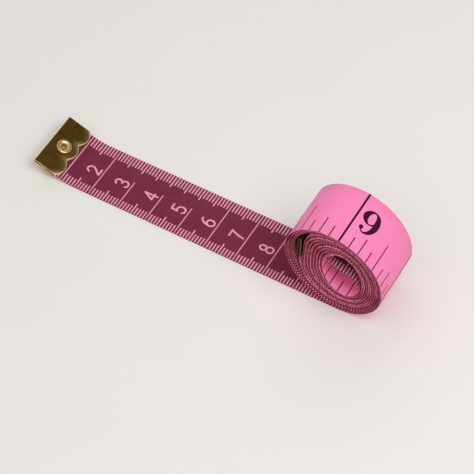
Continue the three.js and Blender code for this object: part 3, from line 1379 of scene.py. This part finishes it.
@dataclass
class EndCap:
    """A brass strip folded over one end of the tape, with a lobed inner edge."""

    name: str
    node: str
    body: str
    end: EndFrame
    finish: bpy.types.Material
    length: float = 9.5
    width: float = 19.6
    inner: float = 0.31
    sheet: float = 0.3
    lobes: int = 3
    lobe_depth: float = 1.3
    hole: float = 1.75
    columns: int = 72
    rows: int = 6
    fold_steps: int = 16
    rim: float = 0.08
    lip: float = 0.34
    lip_drop: float = 0.14

    def edge(self, across: float) -> float:
        """How far the lobed edge reaches at a place across the cap."""
        wave = abs(math.sin(math.pi * self.lobes * (across / self.width + 0.5)))
        return self.length - self.lobe_depth * (1.0 - wave)

    def build(self) -> None:
        """Models the cap in millimetres and puts it on its end."""
        radius = self.inner + self.sheet / 2
        centre = self.inner + self.sheet
        reach = self.length - centre
        bpy.ops.object.select_all(action="DESELECT")
        bpy.ops.mesh.primitive_grid_add(x_subdivisions=self.rows, y_subdivisions=self.columns, size=1.0)
        piece = bpy.context.object
        piece.name = self.name
        piece.data.name = self.name
        Modeller.begin(piece)
        bpy.ops.mesh.select_all(action="SELECT")
        bpy.ops.transform.resize(value=(reach, self.width, 1.0))
        bpy.ops.transform.translate(value=(centre + reach / 2, 0.0, radius))
        Modeller.choose(piece, lambda co: co.x < centre + TOUCH)
        turn = {"center": (centre, 0.0, 0.0), "axis": (0.0, 1.0, 0.0)}
        bpy.ops.mesh.spin(steps=self.fold_steps, angle=math.pi, **turn)
        Modeller.choose(piece, lambda co: abs(co.x - centre) < TOUCH and co.z < 0.0)
        step = {"value": (reach / self.rows, 0.0, 0.0)}
        for _ in range(self.rows):
            bpy.ops.mesh.extrude_edges_move(TRANSFORM_OT_translate=step)
        last = centre + reach * (1 - 1 / self.rows)
        Modeller.choose(piece, lambda co: abs(co.x - last) < TOUCH)
        bpy.ops.transform.translate(value=(self.length - self.lip - last, 0.0, 0.0))
        for column in range(self.columns + 1):
            across = self.width * (column / self.columns - 0.5)
            Modeller.choose(piece, lambda co: abs(co.y - across) < 0.01 and co.x > centre + TOUCH)
            share = (self.edge(across) - centre) / reach
            bpy.ops.transform.resize(value=(share, 1.0, 1.0), center_override=(centre, 0.0, 0.0))
        for side in (1.0, -1.0):
            Modeller.choose(piece, lambda co: co.x > self.edge(co.y) - TOUCH and co.z * side > 0.0)
            bpy.ops.transform.translate(value=(0.0, 0.0, -side * self.lip_drop))
        Modeller.finish(piece)
        Modeller.apply(piece, "SOLIDIFY", thickness=self.sheet, offset=0.0)
        bevel = {"width": self.rim, "segments": 3, "limit_method": "ANGLE", "angle_limit": 0.7}
        Modeller.apply(piece, "BEVEL", use_clamp_overlap=False, **bevel)
        drill(piece, Matrix.Identity(4), self.hole)
        # Painted highlight: the lobed rim, the fold and the side edges get the pale edge colour, partly as
        # wear.
        rubbed(piece, self.wear)
        piece.data.transform(self.end.matrix())
        smooth_by_angle(piece, 40.0)
        Modeller.apply(piece, "WEIGHTED_NORMAL", weight=100, keep_sharp=True)
        fit_brass(piece, self.finish, self.body, self.node)

    def wear(self, place: Vector) -> float:
        """How bright a corner is, as wear with a painted highlight: most on the lobed rim and along the
        fold.
        """
        rim = 1.0 - smoothstep(self.edge(place.y) - place.x, 0.2, self.lip)
        fold = 1.0 - smoothstep(place.x, 0.4, 0.62)
        side = 0.5 * (1.0 - smoothstep(self.width / 2 - abs(place.y), 0.02, self.rim))
        return float(max(rim, fold, side))


@dataclass
class Eyelet:
    """A rolled brass eyelet through a cap and the tape."""

    name: str
    node: str
    body: str
    end: EndFrame
    finish: bpy.types.Material
    throat: float = 0.62
    barrel: float = 1.62
    rim: float = 2.4
    seat: float = 0.63
    top: float = 1.06
    sides: int = 40
    # How much of the pale edge colour the crown gets, as wear and a painted highlight.
    rub: float = 0.42

    def rings(self) -> list[tuple[float, float]]:
        """The section's corners as radius and height, round the closed ring."""
        crown = self.top
        upper = [
            (self.barrel, self.seat - 0.05),
            (self.rim - 0.15, self.seat + 0.03),
            (self.rim, self.seat + 0.14),
            (self.rim - 0.14, crown - 0.1),
            (self.rim - 0.5, crown + 0.02),
            (self.rim - 0.85, crown - 0.06),
            (self.throat + 0.35, crown - 0.36),
            (self.throat, crown - 0.7),
        ]
        lower = [(radius, -height) for radius, height in reversed(upper)]
        return [*upper, *lower]

    def build(self) -> None:
        """Models the eyelet in millimetres and puts it on its end."""
        rings = self.rings()
        bpy.ops.object.select_all(action="DESELECT")
        bpy.ops.mesh.primitive_circle_add(vertices=self.sides, radius=rings[0][0])
        piece = bpy.context.object
        piece.name = self.name
        piece.data.name = self.name
        Modeller.begin(piece)
        bpy.ops.mesh.select_all(action="SELECT")
        bpy.ops.transform.translate(value=(0.0, 0.0, rings[0][1]))
        for (radius, height), (after, rise) in zip(rings, rings[1:]):
            step = {"value": (0.0, 0.0, rise - height)}
            bpy.ops.mesh.extrude_edges_move(TRANSFORM_OT_translate=step)
            share = after / radius
            bpy.ops.transform.resize(value=(share, share, 1.0), center_override=(0.0, 0.0, 0.0))
        first, last = rings[0], rings[-1]
        Modeller.choose(piece, lambda co: min(
            abs(co.z - first[1]) + abs(co.xy.length - first[0]),
            abs(co.z - last[1]) + abs(co.xy.length - last[0]),
        ) < 0.01)
        bpy.ops.mesh.select_mode(type="EDGE")
        bpy.ops.mesh.bridge_edge_loops()
        Modeller.finish(piece)
        Modeller.apply(piece, "SUBSURF", levels=1, render_levels=1)
        # Painted highlight: the crown ring gets the pale edge colour, partly as wear.
        rubbed(piece, lambda place: self.rub * float(smoothstep(abs(place.z), 0.6, 0.9)))
        piece.data.transform(Matrix.Translation((EYELET_FROM_FOLD, 0.0, 0.0)))
        piece.data.transform(self.end.matrix())
        smooth_by_angle(piece, 60.0)
        fit_brass(piece, self.finish, self.body, self.node)


# Studio

@dataclass
class Studio:
    """The floor, the lights and the camera."""

    floor_finish: bpy.types.Material
    azimuth: float = 29.905
    elevation: float = 52.651
    distance: float = 0.6
    lens: float = 154.3
    target: tuple = (0.007445, -0.0015, 0.00042)
    key_place: tuple = (0.35, -0.085, 0.6)
    key_size: float = 0.45
    key_power: float = 2.3
    key_tint: Colour = (1.0, 0.985, 0.96)
    sky_tint: Colour = (1.0, 0.985, 0.97)
    dark_side: tuple = (0.335, 0.526, 0.781)

    def build(self) -> None:
        """Sets up everything round the object."""
        self.floor()
        self.lights()
        self.camera()
        bpy.context.scene.view_settings.view_transform = "Standard"

    def floor(self) -> None:
        """Lays a pale floor that reaches far past the camera's view."""
        bpy.ops.object.select_all(action="DESELECT")
        bpy.ops.mesh.primitive_grid_add(x_subdivisions=8, y_subdivisions=8, size=6.0)
        floor = bpy.context.object
        floor.name = "floor"
        floor.data.materials.append(self.floor_finish)

    def lights(self) -> None:
        """Adds a soft key light from the right, and a world that is dark where the brass mirrors it."""
        self.key_light()
        world = bpy.data.worlds.new("studio")
        bpy.context.scene.world = world
        kit = NodeKit(world)
        looking = kit.node("ShaderNodeTexCoord", {}, {}, "Generated")
        toward = {0: looking, 1: Vector(self.dark_side).normalized()}
        facing = kit.node("ShaderNodeVectorMath", {"operation": "DOT_PRODUCT"}, toward, "Value")
        up = kit.node("ShaderNodeSeparateXYZ", {}, {0: looking}, "Z")
        behind = kit.node("ShaderNodeSeparateXYZ", {}, {0: looking}, "Y")
        overhead = up.between(0.15, 0.85)
        level = 0.3 + 0.57 * overhead + 0.6 * behind.between(0.1, 0.6) * (1.0 - overhead)
        level = level * (1.0 - 0.96 * facing.between(0.77, 0.94))
        sky = kit.node("ShaderNodeBackground", {}, {"Color": (*self.sky_tint, 1.0), "Strength": level})
        kit.node_output("ShaderNodeOutputWorld", sky)

    def key_light(self) -> None:
        """Adds the square lamp, which faces the object."""
        lamp = bpy.data.lights.new("key_light", "AREA")
        lamp.size = self.key_size
        lamp.energy = self.key_power
        lamp.color = self.key_tint
        stand = bpy.data.objects.new("key_light", lamp)
        bpy.context.scene.collection.objects.link(stand)
        stand.location = self.key_place
        facing = Vector(self.target) - Vector(self.key_place)
        stand.rotation_euler = facing.to_track_quat("-Z", "Y").to_euler()

    def camera(self) -> None:
        """Puts the camera at the picture's angle."""
        around, up = math.radians(self.azimuth), math.radians(self.elevation)
        back = Vector((
            math.sin(around) * math.cos(up), -math.cos(around) * math.cos(up), math.sin(up)
        ))
        lens = bpy.data.cameras.new("camera")
        lens.sensor_width = 36.0
        lens.lens = self.lens
        lens.clip_start = 0.01
        stand = bpy.data.objects.new("camera", lens)
        bpy.context.scene.collection.objects.link(stand)
        stand.location = Vector(self.target) + self.distance * back
        stand.rotation_euler = (-back).to_track_quat("-Z", "Y").to_euler()
        bpy.context.scene.camera = stand


def main(frame: dict) -> None:
    """Builds the tape measure's classes in order.
    """
    finishes = {
        "plum_cloth": ClothFinish("plum_cloth", (0.17, 0.024, 0.05), (0.23, 0.04, 0.075)).build(),
        "pink_cloth": ClothFinish("pink_cloth", (0.97, 0.26, 0.51), (0.9, 0.21, 0.44), mottle=0.3).build(),
        "tape_edge": EdgeFinish("tape_edge", (0.22, 0.014, 0.045), (0.97, 0.34, 0.45)).build(),
        "pink_ink": InkFinish("pink_ink", (0.88, 0.36, 0.5), (0.62, 0.2, 0.31)).build(),
        "dark_ink": InkFinish("dark_ink", (0.036, 0.003, 0.017), (0.085, 0.012, 0.048)).build(),
    }
    bright_brass = BrassFinish(
        "bright_brass", bright=(0.66, 0.38, 0.08), tarnish=(0.4, 0.2, 0.03), rubbed=(0.95, 0.8, 0.5)
    ).build()
    # Painted shade: the far end's cap and eyelet take a darker copy of the same brass, for the dark gap
    # between the layers that they sit in.
    dull_brass = BrassFinish(
        "dull_brass", bright=(0.11, 0.056, 0.028), tarnish=(0.055, 0.027, 0.014),
        rubbed=(0.16, 0.095, 0.06), roughness=0.4,
    ).build()
    floor = FloorFinish("floor", (0.86, 0.84, 0.82)).build()

    strip = StripSizes()
    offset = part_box("tape_strip")[0].x / MM - strip.start
    zero = EndFrame.of_cap("zero_end_cap", "zero_end_eyelet", across=0.0)
    far = EndFrame.of_cap("far_end_cap", "far_end_eyelet", across=1.0)
    winding = Winding(RollShape(rest=strip.free_length + offset))
    path = TapePath(zero, far, winding, strip.free_length, offset, strip.level)
    LOG.info("tape from %.2f to %.2f mm", path.start, path.end)

    centimetres = Scale(
        Face.CENTIMETRE, Numerals.ROUNDED, unit=10.0, parts=10, last=150,
        near_ticks={1: 2.75, 5: 4.0}, far_ticks={1: 3.5, 5: 4.5}, tick_width=0.42, line_width=0.32,
        figure_height=4.8, figure_gap=0.85, figure_across=8.7, figure_space=0.68, pen=1.25, wide=0.88,
        short_lines=(3, 4, 5),
    )
    inches = Scale(
        Face.INCH, Numerals.BOLD, unit=INCH, parts=8, last=60,
        near_ticks={1: 4.0, 2: 5.9, 4: 10.0}, far_ticks={}, tick_width=0.33, line_width=0.62,
        figure_height=8.4, figure_gap=1.6, figure_across=10.7, figure_space=0.6, pen=1.1, wide=1.14,
        origin=-2.0,
    )
    ends = {"tip": [zero], "winding": [far]}
    Ribbon(path, (centimetres, inches), finishes, frame["joints"], ends).build()
    # The far end takes the darker brass as painted shade.
    brass_ends = (("zero_end", zero, "tip", bright_brass), ("far_end", far, "winding", dull_brass))
    for label, end, body, brass in brass_ends:
        EndCap(f"{label}_brass_cap", f"{label}_cap", body, end, brass).build()
        Eyelet(f"{label}_brass_eyelet", f"{label}_eyelet", body, end, brass).build()
    Studio(floor).build()


if __name__ == "__main__":
    logging.basicConfig(level=logging.INFO, format="%(name)s: %(message)s")
    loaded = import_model()
    main(loaded)
